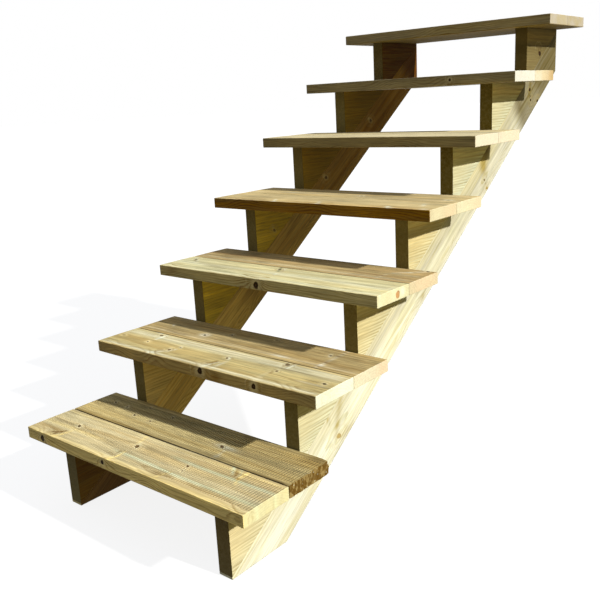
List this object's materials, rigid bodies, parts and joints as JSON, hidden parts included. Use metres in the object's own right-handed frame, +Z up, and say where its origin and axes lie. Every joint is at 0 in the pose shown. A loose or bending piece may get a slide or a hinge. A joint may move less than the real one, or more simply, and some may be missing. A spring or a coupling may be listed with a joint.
{
  "type": "outdoor wooden staircase",
  "caption": "Open outdoor stair of treated pine: paired tread boards on two built-up saw-tooth stringers, with a grooved bottom tread.",
  "frame": {"origin": "middle of the top tread's rear edge face, where the stair stands against its landing", "axes": "+X along the treads, to the right of a person climbing; +Y the way the stair climbs, square to the landing; +Z up"},
  "size_m": [0.8, 1.805, 1.253],
  "materials": {
    "grooved_board": "planed treated pine with milled cross grooves",
    "front_board": "planed treated pine, pale and slightly green",
    "back_board": "planed treated pine, browner",
    "stringer_plank": "planed treated pine, grain along the slope",
    "step_block": "planed treated pine, level grain"
  },
  "bodies": {
    "root": {"tread_1_front_board": "grooved_board", "tread_1_back_board": "grooved_board", "tread_2_front_board": "front_board", "tread_2_back_board": "back_board", "tread_3_front_board": "front_board", "tread_3_back_board": "back_board", "tread_4_front_board": "front_board", "tread_4_back_board": "back_board", "tread_5_front_board": "front_board", "tread_5_back_board": "back_board", "tread_6_front_board": "front_board", "tread_6_back_board": "back_board", "tread_7_front_board": "front_board", "tread_7_back_board": "back_board", "left_stringer_plank": "stringer_plank", "right_stringer_plank": "stringer_plank", "left_step_block_1": "step_block", "left_step_block_2": "step_block", "left_step_block_3": "step_block", "left_step_block_4": "step_block", "left_step_block_5": "step_block", "left_step_block_6": "step_block", "left_step_block_7": "step_block", "right_step_block_1": "step_block", "right_step_block_2": "step_block", "right_step_block_3": "step_block", "right_step_block_4": "step_block", "right_step_block_5": "step_block", "right_step_block_6": "step_block", "right_step_block_7": "step_block"}
  },
  "joints": []
}
